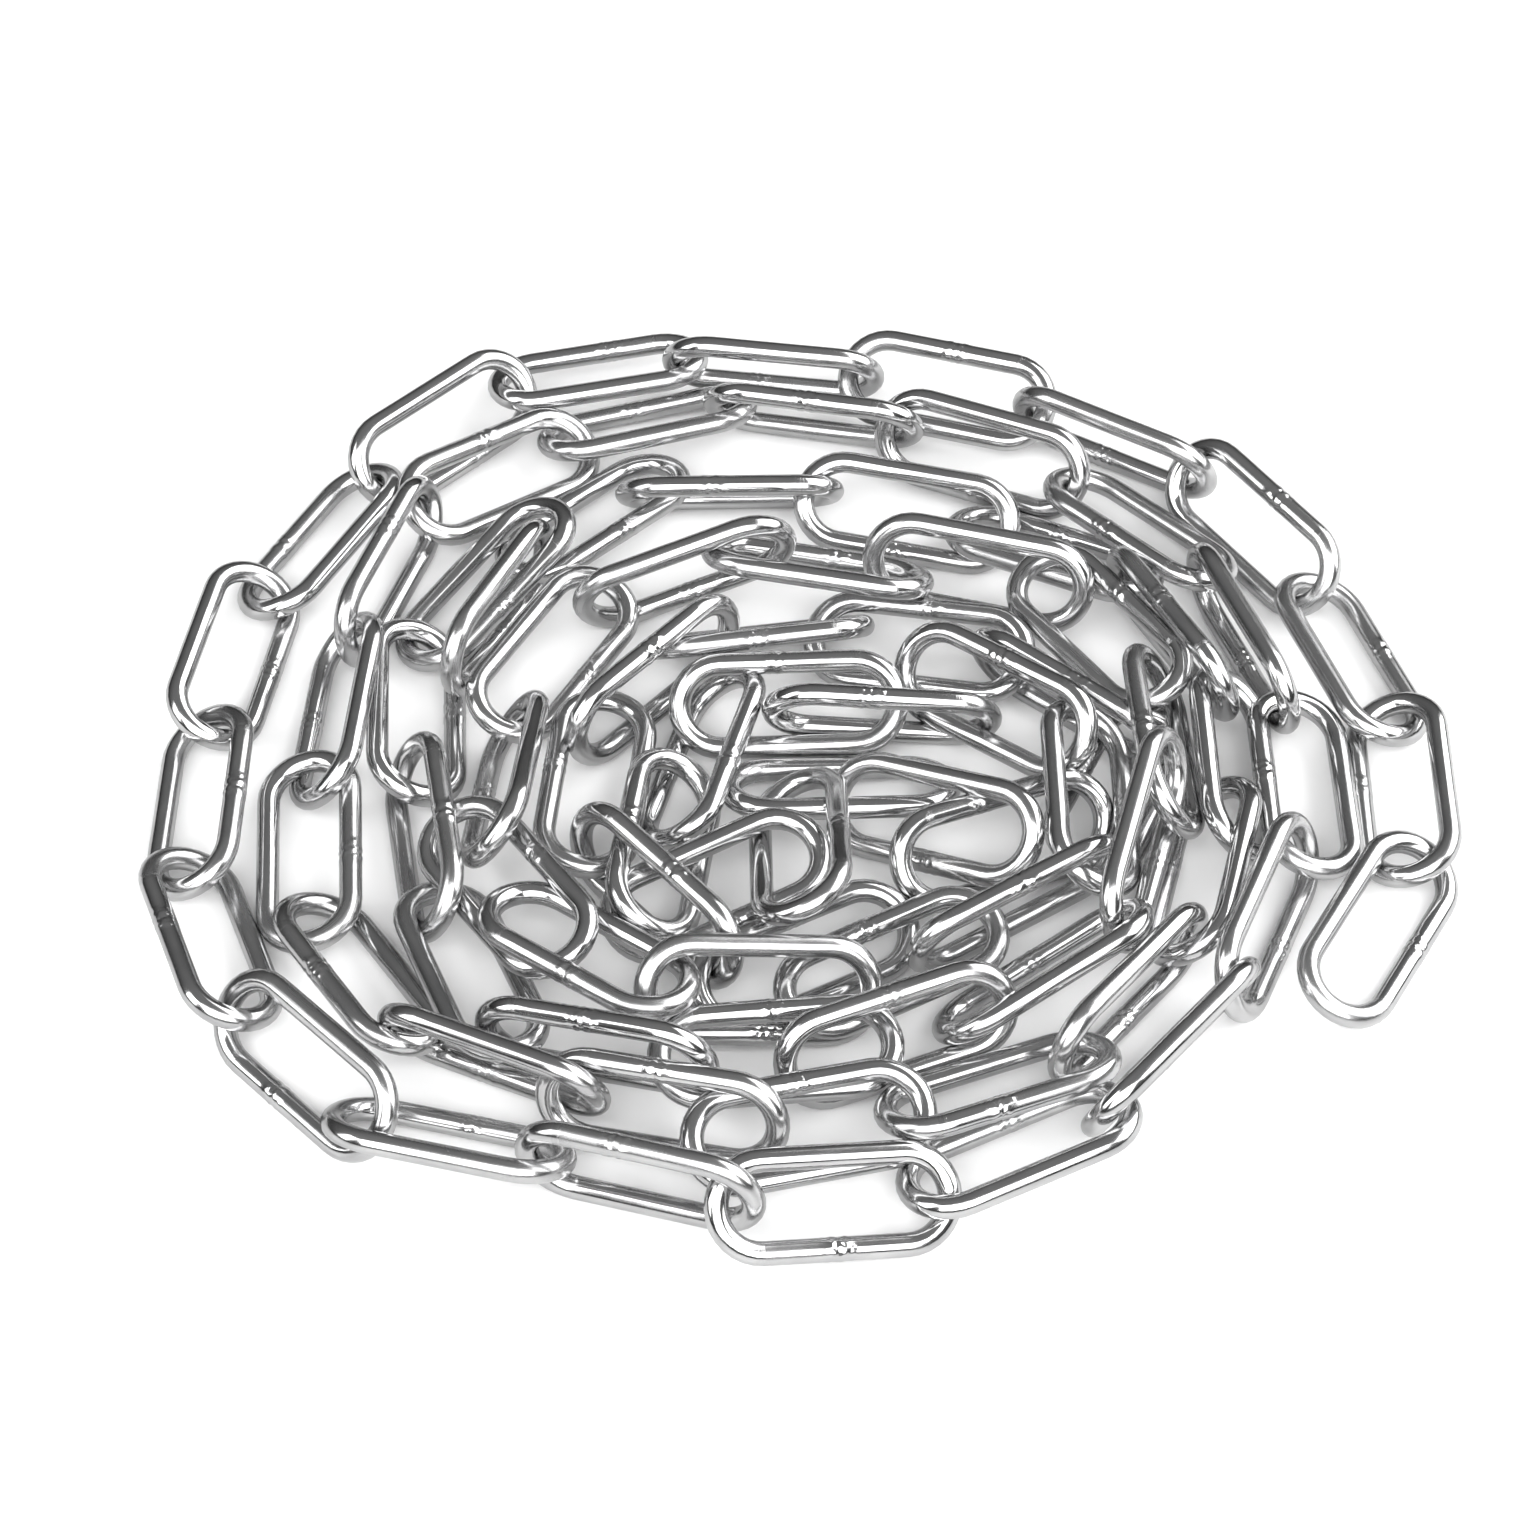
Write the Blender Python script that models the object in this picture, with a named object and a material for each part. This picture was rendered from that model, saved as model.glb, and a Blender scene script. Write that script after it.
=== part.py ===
"""Heap of steel chain: one loose run of welded long links, laid down in a spiral with a tangled middle.

Metres, +Z up, +X to the right in the photo and +Y away from the camera. Each link's place is read from
the photo: the pixels of its two tips and of the midpoints of its long sides, with the height of its
middle above the floor. The photo's camera turns the pixels into places in space, and then the links are
eased apart until no wire enters another.
"""

import math

import bpy
import numpy as np
from mathutils import Matrix

MM = 0.001

# Sizes of one link
WIRE = 4.0 * MM
LINK_LENGTH = 43.0 * MM
LINK_WIDTH = 19.0 * MM
BEND_RADIUS = (LINK_WIDTH - WIRE) / 2
HALF_STRAIGHT = (LINK_LENGTH - LINK_WIDTH) / 2

# Facets of the wire: corners a little outside the round wire keep its volume
BEND_STEPS = 5
WIRE_SIDES = 8
CORNER_RADIUS = WIRE / 2 * 1.054
FACET_RADIUS = CORNER_RADIUS * math.cos(math.pi / WIRE_SIDES)

# Distances between centrelines: free neighbours, and the two links that share a node
APART = WIRE + 0.3 * MM
JOINED = 3.6 * MM

# The camera of the photo
PHOTO_SIZE = 1536
FOCAL_PIXELS = 3850.0
VIEW_DISTANCE = 690.0 * MM
VIEW_ELEVATION = math.radians(50.0)

# The free end link lies with one long side flat on the floor
END_ROLL = math.radians(22.5)

# One row a link from the free outer end to the free inner end, read by eye: pixels of the tip towards
# the link before and of the tip towards the link after, pixels of the midpoints of the long sides that
# can be seen, and the height of the link's middle above the floor in millimetres.
LINKS = [
    ((1328, 1002), (1423, 846), (), 5),
    ((1407, 862), (1392, 712), ((1362, 787), (1440, 787)), 5),
    ((1388, 722), (1308, 590), ((1385, 650),), 5),
    ((1322, 592), (1188, 468), ((1280, 500), (1235, 555)), 5),
    ((1200, 478), (1036, 412), ((1130, 426), (1140, 470)), 5),
    ((1050, 412), (858, 378), ((950, 354),), 5),
    ((867, 372), (683, 352), ((775, 345), (760, 373)), 5),
    ((697, 358), (505, 382), ((600, 347), (620, 388)), 5),
    ((538, 391), (345, 478), ((425, 402), (448, 480)), 5),
    ((384, 474), (252, 608), ((283, 538),), 5),
    ((258, 578), (200, 742), ((195, 640), (273, 675)), 5),
    ((213, 716), (190, 880), ((160, 800), (232, 790)), 5),
    ((182, 858), (240, 1022), ((172, 940), (250, 930)), 5),
    ((232, 1000), (380, 1132), ((278, 1095), (335, 1037)), 5),
    ((340, 1117), (560, 1163), ((460, 1115), (440, 1152)), 5),
    ((523, 1142), (746, 1198), ((620, 1143), (628, 1196)), 5),
    ((715, 1210), (952, 1192), ((830, 1155), (835, 1250)), 5),
    ((910, 1195), (1122, 1122), ((1010, 1130), (1030, 1185)), 5),
    ((1085, 1122), (1252, 978), ((1165, 1045), (1172, 1056)), 6),
    ((1222, 1000), (1303, 828), ((1250, 905), (1285, 945)), 6),
    ((1318, 862), (1292, 700), ((1285, 785), (1345, 780)), 6),
    ((1292, 722), (1198, 555), ((1248, 635), (1232, 650)), 6),
    ((1222, 585), (1058, 480), ((1160, 515), (1125, 540)), 6),
    ((1085, 478), (882, 428), ((980, 422),), 6),
    ((909, 424), (705, 404), ((800, 407), (830, 434)), 6),
    ((747, 398), (550, 436), ((640, 400), (650, 432)), 6),
    ((585, 440), (408, 512), ((475, 447), (515, 505)), 9),
    ((425, 492), (340, 650), ((372, 560), (400, 595)), 7),
    ((358, 628), (318, 802), ((315, 710), (360, 705)), 6),
    ((312, 768), (310, 945), ((270, 860), (350, 860)), 6),
    ((305, 905), (418, 1045), ((332, 970), (390, 970)), 6),
    ((388, 1020), (595, 1095), ((480, 1040), (485, 1075)), 7),
    ((557, 1090), (778, 1130), ((660, 1078),), 8),
    ((692, 1150), (930, 1108), ((800, 1100), (830, 1182)), 9),
    ((885, 1112), (1108, 1055), ((1000, 1060), (1000, 1113)), 7),
    ((1062, 1068), (1208, 935), ((1130, 995), (1140, 1008)), 8),
    ((1180, 950), (1228, 785), ((1182, 870), (1245, 870)), 8),
    ((1232, 855), (1225, 698), ((1198, 776), (1263, 776)), 8),
    ((1232, 708), (1118, 560), ((1170, 628), (1180, 640)), 8),
    ((1135, 580), (965, 530), ((1062, 540), (1060, 590)), 8),
    ((1005, 522), (808, 490), ((900, 466), (880, 545)), 9),
    ((838, 488), (622, 490), ((730, 485), (730, 495)), 12),
    ((677, 470), (510, 572), ((590, 485), (605, 540)), 8),
    ((548, 545), (452, 678), ((468, 592), (490, 612)), 9),
    ((550, 515), (425, 660), ((455, 575), (510, 600)), 16),
    ((415, 632), (415, 788), ((378, 710), (457, 710)), 10),
    ((415, 748), (440, 928), ((400, 840), (450, 820)), 9),
    ((430, 885), (510, 1062), ((425, 970), (510, 950)), 8),
    ((490, 1030), (703, 1062), ((600, 1022),), 8),
    ((657, 1055), (893, 1048), ((775, 1010), (770, 1092)), 13),
    ((793, 1080), (1003, 1008), ((900, 1000), (905, 1088)), 9),
    ((948, 1032), (1135, 925), ((1038, 973), (1046, 984)), 9),
    ((1108, 935), (1160, 758), ((1120, 830), (1160, 850)), 18),
    ((1165, 835), (1145, 663), ((1130, 730), (1181, 760)), 10),
    ((1165, 690), (1025, 558), ((1130, 595), (1060, 640)), 9),
    ((1082, 600), (876, 560), ((970, 540), (960, 620)), 10),
    ((920, 582), (713, 547), ((815, 560), (818, 570)), 10),
    ((778, 535), (592, 608), ((680, 543), (680, 595)), 9),
    ((618, 590), (490, 722), ((530, 625), (600, 668)), 7),
    ((528, 700), (482, 860), ((520, 780), (478, 785)), 9),
    ((440, 820), (575, 968), ((480, 935), (540, 875)), 11),
    ((508, 905), (682, 1002), ((575, 968), (610, 915)), 12),
    ((644, 985), (873, 985), ((755, 946), (760, 1028)), 15),
    ((800, 1008), (980, 925), ((885, 945),), 9),
    ((918, 950), (1122, 878), ((1020, 890), (1010, 942)), 11),
    ((1108, 895), (1095, 708), ((1075, 800), (1125, 800)), 12),
    ((1088, 803), (911, 679), ((975, 775), (1024, 707)), 12),
    ((988, 722), (775, 705), ((880, 697), (880, 730)), 12),
    ((895, 705), (680, 712), ((780, 667), (780, 752)), 15),
    ((738, 668), (667, 848), ((730, 770), (662, 760)), 12),
    ((676, 766), (648, 945), ((612, 852), (699, 852)), 10),
    ((598, 938), (820, 842), ((696, 861), (722, 919)), 13),
    ((815, 945), (808, 768), ((770, 868), (841, 850)), 12),
    ((717, 800), (957, 785), ((840, 768), (850, 813)), 6),
    ((838, 775), (1047, 815), ((945, 755), (940, 842)), 9),
    ((904, 867), (1114, 778), ((1000, 786), (1005, 874)), 7),
    ((1100, 825), (1155, 735), (), 3),
    ((1163, 745), (985, 655), ((1070, 695), (1078, 705)), 6),
    ((1027, 652), (812, 628), ((920, 603),), 8),
    ((870, 630), (650, 655), ((760, 638), (760, 648)), 9),
    ((733, 625), (588, 742), ((640, 655), (660, 705)), 9),
    ((600, 710), (580, 858), ((550, 780), (635, 775)), 9),
    ((582, 818), (737, 958), ((674, 854), (645, 921)), 10),
    ((703, 985), (895, 900), ((790, 903), (800, 990)), 9),
]
COUNT = len(LINKS)

# Heights of both tips in millimetres, for links that slope more than their neighbours tell. Link 45
# hangs on both its neighbours by one and the same tip.
TIP_HEIGHTS = {45: (21, 9)}

# Share of the neighbour's height in the height of a tip
LEAN = 0.4

# Linking numbers of joints whose way round the photo shows, by the joint's first link
WAY_ROUND = {61: 1, 72: 1, 73: -1}

# Links that lie over another where the photo shows it: (upper, lower), counted from 1
OVER = [
    (27, 9), (33, 50), (34, 17), (34, 50), (44, 59), (45, 43), (50, 63), (50, 64), (53, 65), (53, 66),
    (53, 76), (53, 77), (54, 78), (55, 40), (63, 64), (63, 83), (63, 84), (63, 73), (66, 65), (66, 67),
    (66, 76), (76, 67), (67, 77), (69, 81), (73, 75), (73, 84), (72, 74), (70, 74),
]

LOOK = np.array([0.0, math.cos(VIEW_ELEVATION), -math.sin(VIEW_ELEVATION)])
ACROSS = np.array([1.0, 0.0, 0.0])
UPWARD = np.array([0.0, math.sin(VIEW_ELEVATION), math.cos(VIEW_ELEVATION)])
EYE = -LOOK * VIEW_DISTANCE


def unit(vectors):
    return vectors / np.sqrt((vectors * vectors).sum(-1, keepdims=True))


def place_of(pixel, height):
    """The point at this height above the floor that the photo shows at this pixel."""
    right = (pixel[0] - PHOTO_SIZE / 2) / FOCAL_PIXELS
    up = (PHOTO_SIZE / 2 - pixel[1]) / FOCAL_PIXELS
    ray = LOOK + right * ACROSS + up * UPWARD
    return EYE + ray * (height - EYE[2]) / ray[2]


def pixel_of(points):
    """Where the photo shows these points."""
    offset = points - EYE
    depth = (offset * LOOK).sum(-1)
    right = PHOTO_SIZE / 2 + FOCAL_PIXELS * (offset * ACROSS).sum(-1) / depth
    down = PHOTO_SIZE / 2 - FOCAL_PIXELS * (offset * UPWARD).sum(-1) / depth
    return np.stack([right, down], -1)


def oval():
    """Corners of a link's centreline: along the link, then across it."""
    angles = np.radians(np.linspace(-90, 90, BEND_STEPS + 1))
    along = HALF_STRAIGHT + BEND_RADIUS * np.cos(angles)
    half = np.stack([along, BEND_RADIUS * np.sin(angles)], -1)
    return np.concatenate([half, -half])


OVAL = oval()


def width_axis(axis, roll):
    """Direction across a link that is rolled about its long axis; a positive roll lifts its left side."""
    level = unit(np.cross([0.0, 0.0, 1.0], axis))
    return math.cos(roll) * level + math.sin(roll) * np.cross(axis, level)


def rings(centres, axes, widths):
    """Centreline corners of links with these centres and directions."""
    return centres[:, None] + OVAL[None, :, :1] * axes[:, None] + OVAL[None, :, 1:] * widths[:, None]


def read_axes():
    """Centre and long axis of each link, from its tips. A tip's height leans towards its neighbour's."""
    height = np.array([row[3] for row in LINKS]) * MM
    before = np.concatenate([height[:1], height[1:] + LEAN * (height[:-1] - height[1:])])
    after = np.concatenate([height[:-1] + LEAN * (height[1:] - height[:-1]), height[-1:]])
    for number, (first_tip, last_tip) in TIP_HEIGHTS.items():
        before[number - 1] = first_tip * MM
        after[number - 1] = last_tip * MM
    first = np.array([place_of(row[0], h) for row, h in zip(LINKS, before)])
    last = np.array([place_of(row[1], h) for row, h in zip(LINKS, after)])
    return (first + last) / 2, unit(last - first)


def crossings(one, other):
    """Linking number of two rings, with the height of one over the other where they cross from above."""
    step_one = (np.roll(one, -1, axis=-2) - one)[..., :, None, :]
    step_other = (np.roll(other, -1, axis=-2) - other)[..., None, :, :]
    start_one = one[..., :, None, :]
    start_other = other[..., None, :, :]
    area = step_one[..., 0] * step_other[..., 1] - step_one[..., 1] * step_other[..., 0]
    area = np.where(abs(area) < 1e-15, 1e-15, area)
    between = start_other - start_one
    s = (between[..., 0] * step_other[..., 1] - between[..., 1] * step_other[..., 0]) / area
    t = (between[..., 0] * step_one[..., 1] - between[..., 1] * step_one[..., 0]) / area
    hit = (s >= 0) & (s < 1) & (t >= 0) & (t < 1)
    rise = start_one[..., 2] + s * step_one[..., 2] - start_other[..., 2] - t * step_other[..., 2]
    number = np.where(hit, np.sign(area) * np.sign(rise), 0).sum((-1, -2)) / 2
    return number, rise, hit


# Rolls to choose from, how far a side's mark may be off in pixels, and what speaks against a roll: each
# radian squared, a wire that runs into the link before, and a joint that isn't threaded
ROLL_CHOICES = np.radians(np.arange(-85, 86, 10))
ERROR_ACROSS = 7.0
ERROR_ALONG = 20.0
ROLL_COST = 0.133
BITE_COST = 6.0
UNLINKED_COST = 100.0


def roll_cost(row, centre, axis, roll):
    """How badly a rolled link misses the places that were read on its long sides."""
    width = width_axis(axis, roll) * BEND_RADIUS
    ends = pixel_of(np.array([centre - axis * HALF_STRAIGHT, centre + axis * HALF_STRAIGHT]))
    along = unit(ends[1] - ends[0])
    errors = np.array([along / ERROR_ALONG, [-along[1] / ERROR_ACROSS, along[0] / ERROR_ACROSS]])
    sides = pixel_of(np.array([centre + width, centre - width]))
    marks = np.array(row[2], float).reshape(-1, 2)
    cost = ROLL_COST * roll ** 2
    if len(marks) == 2:
        side = sides[0] - sides[1]
        mark = marks[0] - marks[1]
        misses = np.array([side - mark, side + mark]) @ errors.T
        cost += (misses ** 2).sum(-1).min() / 2
    elif len(marks) == 1:
        cost += (((sides - marks) @ errors.T) ** 2).sum(-1).min()
    return cost


def choose_rolls(centres, axes):
    """The rolls that fit the readings best with every link threaded through the one before it."""
    choices = [np.array([END_ROLL])] + [ROLL_CHOICES] * (COUNT - 1)
    shapes = []
    costs = []
    for row, centre, axis, rolls in zip(LINKS, centres, axes, choices):
        widths = np.array([width_axis(axis, roll) for roll in rolls])
        shapes.append(rings(centre[None], axis[None], widths))
        costs.append(np.array([roll_cost(row, centre, axis, roll) for roll in rolls]))
    total = costs[0]
    best_before = []
    for i in range(1, COUNT):
        number, rise, hit = crossings(shapes[i - 1][:, None], shapes[i][None, :])
        bite = np.where(hit, np.clip(1 - abs(rise) / WIRE, 0, None) ** 2, 0).sum((-1, -2))
        joint = BITE_COST * bite + np.where(abs(number) == 1, 0, UNLINKED_COST)
        if i in WAY_ROUND:
            joint += np.where(number == WAY_ROUND[i], 0, UNLINKED_COST)
        both = total[:, None] + joint + costs[i][None, :]
        best_before.append(both.argmin(0))
        total = both.min(0)
    pick = int(total.argmin())
    picks = [pick]
    for column in reversed(best_before):
        pick = int(column[pick])
        picks.append(pick)
    picks.reverse()
    return [rolls[pick] for rolls, pick in zip(choices, picks)]


def closest(start_one, step_one, start_other, step_other):
    """Where two straight stretches come nearest: share along each, the gap as a vector and its size."""
    one_one = (step_one * step_one).sum(-1)
    one_other = (step_one * step_other).sum(-1)
    other_other = (step_other * step_other).sum(-1)
    between = start_one - start_other
    along_one = (step_one * between).sum(-1)
    along_other = (step_other * between).sum(-1)
    square = np.maximum(one_one * other_other - one_other * one_other, 1e-18)
    s = np.clip((one_other * along_other - other_other * along_one) / square, 0, 1)
    t = np.clip((one_other * s + along_other) / other_other, 0, 1)
    s = np.clip((one_other * t - along_one) / one_one, 0, 1)
    gap = between + s[..., None] * step_one - t[..., None] * step_other
    return s, t, gap, np.sqrt((gap * gap).sum(-1))


REACH = 3.0 * MM


def near_stretches(x):
    """Stretches of different links that lie near each other: link, corner, other link, other corner."""
    centre = x.mean(1)
    i, j = np.triu_indices(COUNT, 1)
    near = ((centre[i] - centre[j]) ** 2).sum(-1) < (LINK_LENGTH + REACH) ** 2
    i, j = i[near], j[near]
    step = np.roll(x, -1, axis=1) - x
    size = closest(x[i][:, :, None], step[i][:, :, None], x[j][:, None], step[j][:, None])[3]
    pair, a, b = np.nonzero(size < WIRE + REACH)
    return i[pair], a, j[pair], b


# Which long side of a link each stretch belongs to
SIDE = (OVAL + np.roll(OVAL, -1, axis=0))[:, 1] > 0


def who_is_over(x):
    """1 where a side of the first of two links lies over a side of the second at the start, -1 where under."""
    over = np.zeros((COUNT, COUNT, 2, 2))
    centre = x.mean(1)
    i, j = np.triu_indices(COUNT, 2)
    near = ((centre[i] - centre[j]) ** 2).sum(-1) < (LINK_LENGTH + WIRE) ** 2
    i, j = i[near], j[near]
    _, rise, hit = crossings(x[i], x[j])
    rise = rise * hit
    for one in range(2):
        for other in range(2):
            over[i, j, one, other] = np.sign(rise[:, SIDE == one][:, :, SIDE == other].sum((-1, -2)))
    for upper, lower in OVER:
        over[min(upper, lower) - 1, max(upper, lower) - 1] = 1 if upper < lower else -1
    return over


# One step of the easing: the greatest overlap that counts, the longest way a corner goes, how much of a
# push moves the link and how much turns it, and the least sine between wires that count as crossed
DEEPEST = 2.0 * MM
LONGEST_STEP = 0.4 * MM
PUSH_SHARE = 0.25
TURN_SHARE = 2.0
LEAST_CROSSING = 0.25


def push_apart(x, stretches, wanted, over, linked, keep_order):
    """One step that moves and turns links away from each other where they are too near."""
    i, a, j, b = stretches
    corners = x.shape[1]
    step = np.roll(x, -1, axis=1) - x
    s, t, gap, size = closest(x[i, a], step[i, a], x[j, b], step[j, b])
    away = gap / np.maximum(size, 1e-9)[:, None]
    depth = wanted - size
    if keep_order:
        cross = np.cross(step[i, a], step[j, b])
        square = np.sqrt((cross * cross).sum(-1))
        full = np.sqrt((step[i, a] ** 2).sum(-1) * (step[j, b] ** 2).sum(-1))
        normal = cross / np.maximum(square, 1e-12)[:, None]
        to_camera = normal * np.sign(-(cross * LOOK).sum(-1))[:, None]
        to_sky = normal * np.sign(cross[:, 2:])
        neighbours = j - i == 1
        upward = np.where(neighbours[:, None], to_sky, to_camera)
        joint = linked[np.minimum(i, COUNT - 2)] * np.sign(cross[:, 2])
        order = np.where(neighbours, joint, over[i, j, SIDE[a] * 1, SIDE[b] * 1])
        signed = order * (gap * upward).sum(-1)
        crossed = (s > 0) & (s < 1) & (t > 0) & (t < 1) & (square > LEAST_CROSSING * full)
        wrong = crossed & (order != 0) & (signed < 0)
        away = np.where(wrong[:, None], upward * order[:, None], away)
        depth = np.where(wrong, wanted - signed, depth)
    depth = np.clip(depth, 0, DEEPEST)
    push = away * depth[:, None]
    turn = np.zeros_like(x)
    np.add.at(turn, (i, a), push * (1 - s)[:, None])
    np.add.at(turn, (i, (a + 1) % corners), push * s[:, None])
    np.add.at(turn, (j, b), -push * (1 - t)[:, None])
    np.add.at(turn, (j, (b + 1) % corners), -push * t[:, None])
    shift = np.zeros((COUNT, 3))
    np.add.at(shift, i, push)
    np.add.at(shift, j, -push)
    hits = np.zeros(COUNT)
    np.add.at(hits, i, depth > 0)
    np.add.at(hits, j, depth > 0)
    share = np.sqrt(np.maximum(hits, 1))[:, None, None]
    move = (PUSH_SHARE * shift[:, None] + TURN_SHARE * turn) / share
    length = np.sqrt((move * move).sum(-1, keepdims=True))
    return x + move * np.minimum(1, LONGEST_STEP / np.maximum(length, 1e-9))


DRAW_SHARE = 0.3


def draw_together(x):
    """Brings the two links of each node as near as they have to be to join."""
    first = np.arange(0, COUNT - 1, 2)
    step = np.roll(x, -1, axis=1) - x
    _, _, gap, size = closest(
        x[first][:, :, None], step[first][:, :, None], x[first + 1][:, None], step[first + 1][:, None]
    )
    nearest = size.reshape(len(first), -1).argmin(1)
    rows = np.arange(len(first))
    size = size.reshape(len(first), -1)[rows, nearest]
    gap = gap.reshape(len(first), -1, 3)[rows, nearest]
    pull = DRAW_SHARE * gap / np.maximum(size, 1e-9)[:, None] * np.maximum(size - JOINED, 0)[:, None]
    x = x.copy()
    x[first] -= pull[:, None]
    x[first + 1] += pull[:, None]
    return x


def make_rigid(x):
    """Centre, long axis and width direction of the true link that lies nearest to each ring of corners."""
    centre = x.mean(1)
    offset = x - centre[:, None]
    axis = unit((offset * OVAL[None, :, :1]).sum(1))
    width = (offset * OVAL[None, :, 1:]).sum(1)
    width = unit(width - (width * axis).sum(-1, keepdims=True) * axis)
    return centre, axis, width


def seat_end_link(centre, axis, width):
    """Lays the first link on the floor with the flat facet of one long side."""
    axis[0, 2] = 0
    axis[0] = unit(axis[0])
    width[0] = width_axis(axis[0], END_ROLL)
    centre[0, 2] = FACET_RADIUS + BEND_RADIUS * math.sin(END_ROLL)


# Rounds of the easing, the steps in each, and the rounds for which a list of near stretches serves; how
# much of the way back to its place in the photo a link goes in a round, and how far it sinks
ROUNDS = 600
STEPS = 3
LIST_ROUNDS = 8
HOLD = 0.07
FALL = 0.06 * MM
SLOW = 0.3

# Shares of the rounds at which the easing changes
NEIGHBOURS_FIRST = 0.12
FALL_START = 0.15
ORDER_END = 0.75
SLOW_START = 0.65
HOLD_END = 0.8


def ease_apart(x):
    """Lowers the links along the camera's rays onto the floor and each other, and clears every overlap."""
    target = x.copy()
    ray = unit(x.mean(1) - EYE)
    drop = (ray / -ray[:, 2:])[:, None]
    ray = ray[:, None]
    over = who_is_over(x)
    threading = np.sign(crossings(x[:-1], x[1:])[0])
    first = np.arange(0, COUNT - 1, 2)
    joined = np.zeros((COUNT, COUNT), bool)
    joined[first, first + 1] = True
    for count in range(ROUNDS):
        share = count / ROUNDS
        slow = 1.0 if share < SLOW_START else SLOW
        if count % LIST_ROUNDS == 0:
            twice = crossings(x[:-1], x[1:])[2].sum((-1, -2)) == 2
            linked = np.where(twice, threading, 0)
            i, a, j, b = near_stretches(x)
            if share < NEIGHBOURS_FIRST:
                neighbours = j - i == 1
                i, a, j, b = i[neighbours], a[neighbours], j[neighbours], b[neighbours]
            wanted = np.where(joined[i, j], JOINED, APART)
        if share < HOLD_END:
            pull = target - x
            pull -= (pull * ray).sum(-1, keepdims=True) * ray
            x = x + HOLD * slow * pull
        if FALL_START < share < HOLD_END:
            x = x + FALL * slow * drop
        for _ in range(STEPS):
            x = push_apart(x, (i, a, j, b), wanted, over, linked, share < ORDER_END)
            x = draw_together(x)
            x[..., 2] = np.maximum(x[..., 2], CORNER_RADIUS)
            centre, axis, width = make_rigid(x)
            seat_end_link(centre, axis, width)
            x = rings(centre, axis, width)
            sunk = np.maximum(CORNER_RADIUS - x[1:, :, 2], 0).max(1)
            x[1:] -= drop[1:] * sunk[:, None, None]
    return make_rigid(x)


def place_links():
    """Centre, long axis and width direction of every link, with the heap's middle over the origin."""
    centres, axes = read_axes()
    rolls = choose_rolls(centres, axes)
    widths = np.array([width_axis(axis, roll) for axis, roll in zip(axes, rolls)])
    centres, axes, widths = ease_apart(rings(centres, axes, widths))
    corners = rings(centres, axes, widths).reshape(-1, 3)
    middle = (corners.min(0) + corners.max(0)) / 2
    return centres - [middle[0], middle[1], 0.0], axes, widths


STEEL_COLOUR = (0.62, 0.62, 0.63, 1.0)
STEEL_ROUGHNESS = 0.18
SHARP_EDGE = math.radians(60)


def steel(name):
    """Polished stainless steel, one material for each node."""
    material = bpy.data.materials.new(name)
    material.use_nodes = True
    shader = material.node_tree.nodes["Principled BSDF"]
    shader.inputs["Base Color"].default_value = STEEL_COLOUR
    shader.inputs["Metallic"].default_value = 1.0
    shader.inputs["Roughness"].default_value = STEEL_ROUGHNESS
    return material


def wire_ring():
    """The curve of one link: a round wire along the oval."""
    curve = bpy.data.curves.new("link_wire", "CURVE")
    curve.dimensions = "3D"
    curve.bevel_depth = CORNER_RADIUS
    curve.bevel_resolution = (WIRE_SIDES - 4) // 2
    spline = curve.splines.new("POLY")
    spline.points.add(len(OVAL) - 1)
    for point, (along, across) in zip(spline.points, OVAL):
        point.co = (along, across, 0.0, 1.0)
    spline.use_cyclic_u = True
    return curve


def link_matrix(centre, axis, width):
    normal = np.cross(axis, width)
    return Matrix([[axis[k], width[k], normal[k], centre[k]] for k in range(3)] + [[0, 0, 0, 1]])


def solid_of(name, source, matrix, collection):
    """A mesh object made from what another object shows now."""
    bpy.context.view_layer.update()
    graph = bpy.context.evaluated_depsgraph_get()
    mesh = bpy.data.meshes.new_from_object(source.evaluated_get(graph))
    made = bpy.data.objects.new(name, mesh)
    made.matrix_world = matrix
    collection.objects.link(made)
    return made


def link_pair(number, first, second, wire, collection):
    """One node: a link and the next one, joined where their wires touch."""
    base = solid_of(f"first_link_{number:02d}", wire, first, collection)
    other = solid_of(f"second_link_{number:02d}", wire, second, collection)
    union = base.modifiers.new("join", "BOOLEAN")
    union.operation = "UNION"
    union.solver = "EXACT"
    union.object = other
    pair = solid_of(f"link_pair_{number:02d}", base, first, collection)
    bpy.data.objects.remove(base)
    bpy.data.objects.remove(other)
    pair.data.materials.clear()
    pair.data.materials.append(steel(f"steel_{number:02d}"))
    pair.data.shade_smooth()
    pair.data.set_sharp_from_angle(angle=SHARP_EDGE)


def main():
    for old in list(bpy.data.objects):
        bpy.data.objects.remove(old)
    chain = bpy.data.collections.new("chain_heap")
    bpy.context.scene.collection.children.link(chain)
    wire = bpy.data.objects.new("wire", wire_ring())
    chain.objects.link(wire)
    centres, axes, widths = place_links()
    places = [link_matrix(*place) for place in zip(centres, axes, widths)]
    for i in range(0, COUNT, 2):
        link_pair(i // 2 + 1, places[i], places[i + 1], wire, chain)
    bpy.data.objects.remove(wire)


main()
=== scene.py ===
"""Looks of the heap of steel chain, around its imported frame.

Metres, +Z up, +X to the right in the photo and +Y away from the camera. Every link is placed by the same
readings and the same easing as the part's own solids, and is drawn as round wire with its butt weld.
"""

import math

import bpy
import numpy as np
from mathutils import Matrix, Vector


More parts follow.
